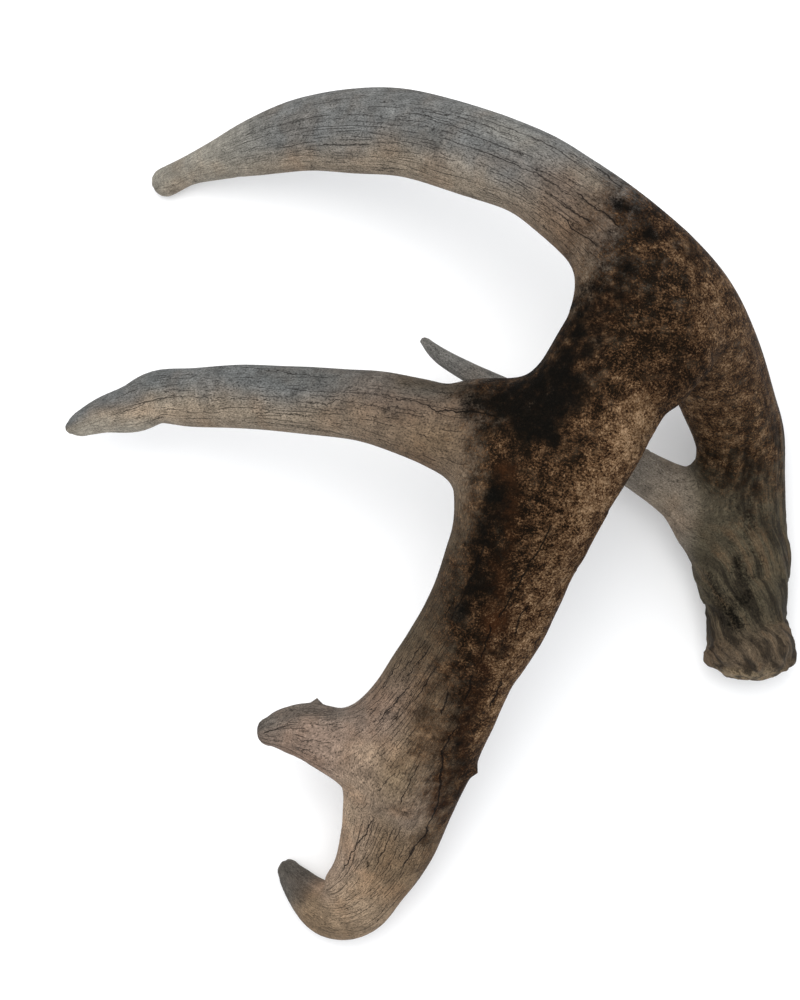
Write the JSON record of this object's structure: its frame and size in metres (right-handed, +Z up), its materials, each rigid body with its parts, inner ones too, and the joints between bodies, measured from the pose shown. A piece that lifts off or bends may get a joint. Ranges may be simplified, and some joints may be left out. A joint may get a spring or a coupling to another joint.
{
  "type": "deer antler",
  "caption": "Shed antler of a white-tailed deer with burr, curved main beam and four tines, lying with its outer side up.",
  "frame": {"origin": "middle of the ground that the antler covers as it lies, on the surface it rests on", "axes": "+Z up from the surface, out of the antler's outer side; +Y from the burr end towards the elbow, along the longest side of its box; +X from the tine tips towards the back of the beam"},
  "size_m": [0.3048, 0.3488, 0.1225],
  "materials": {
    "antler": "matte"
  },
  "bodies": {
    "root": {"burr_and_base": "antler", "rear_beam": "antler", "brow_tine": "antler", "second_tine": "antler", "middle_beam": "antler", "third_tine": "antler", "front_beam": "antler", "fourth_tine": "antler", "beam_end": "antler"}
  },
  "joints": []
}
